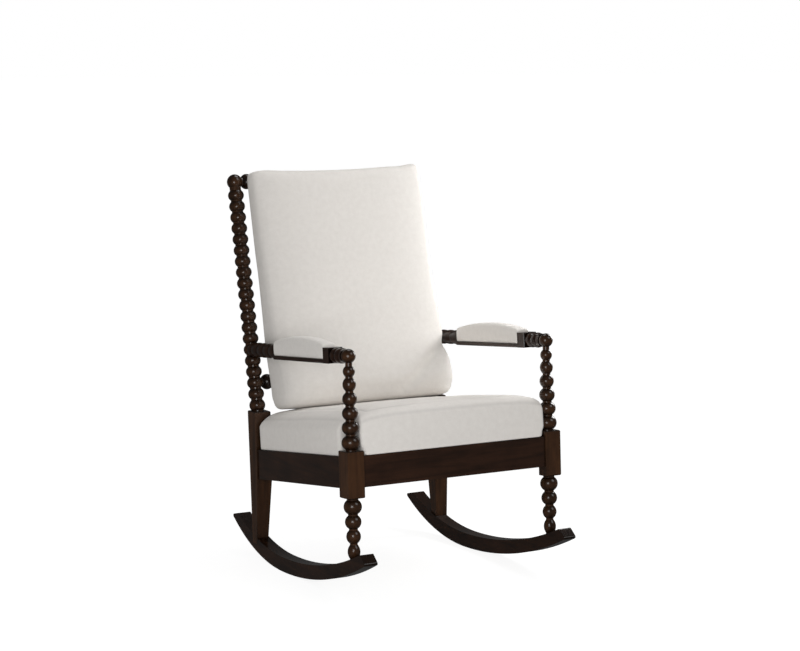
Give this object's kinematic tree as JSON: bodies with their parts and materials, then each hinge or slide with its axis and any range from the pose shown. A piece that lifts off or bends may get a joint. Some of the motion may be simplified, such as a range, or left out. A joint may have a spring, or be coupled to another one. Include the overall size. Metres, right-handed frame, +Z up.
{
  "type": "upholstered rocking chair",
  "caption": "Rocking chair with bobbin-turned posts, arms and back rails in dark wood, a thick padded seat, a padded back and padded armrests on curved rockers.",
  "frame": {"origin": "on the floor under the middle of the chair's outer box, at rest on both rockers", "axes": "+Z up, the chair faces -Y, +X towards the right-hand side as seen from the front"},
  "size_m": [0.6536, 0.8264, 1.0721],
  "materials": {
    "frame_wood": "satin espresso stain",
    "linen": "plain linen weave over padding",
    "inner_wood": "unfinished hardwood",
    "plywood": "unfinished plywood",
    "steel": "zinc plated"
  },
  "bodies": {
    "root": {"rocker_left": "frame_wood", "rocker_right": "frame_wood", "front_post_left": "frame_wood", "front_post_right": "frame_wood", "back_post_left": "frame_wood", "back_post_right": "frame_wood", "arm_left": "frame_wood", "arm_right": "frame_wood", "side_rail_left": "frame_wood", "side_rail_right": "frame_wood", "front_rail": "frame_wood", "back_rail": "frame_wood", "lower_back_rail": "frame_wood", "top_back_rail": "frame_wood", "seat_padding": "linen", "back_padding": "linen", "outside_back": "linen", "arm_pad_left": "linen", "arm_pad_right": "linen", "front_corner_block_left": "inner_wood", "front_corner_block_right": "inner_wood", "back_corner_block_left": "inner_wood", "back_corner_block_right": "inner_wood", "back_frame": "inner_wood", "rail_dowels": "inner_wood", "seat_board": "plywood", "arm_pad_board_left": "plywood", "arm_pad_board_right": "plywood", "hanger_bolts": "steel", "hanger_nuts": "steel", "arm_pad_screws": "steel", "seat_screws": "steel", "back_panel_screws": "steel"}
  },
  "joints": []
}
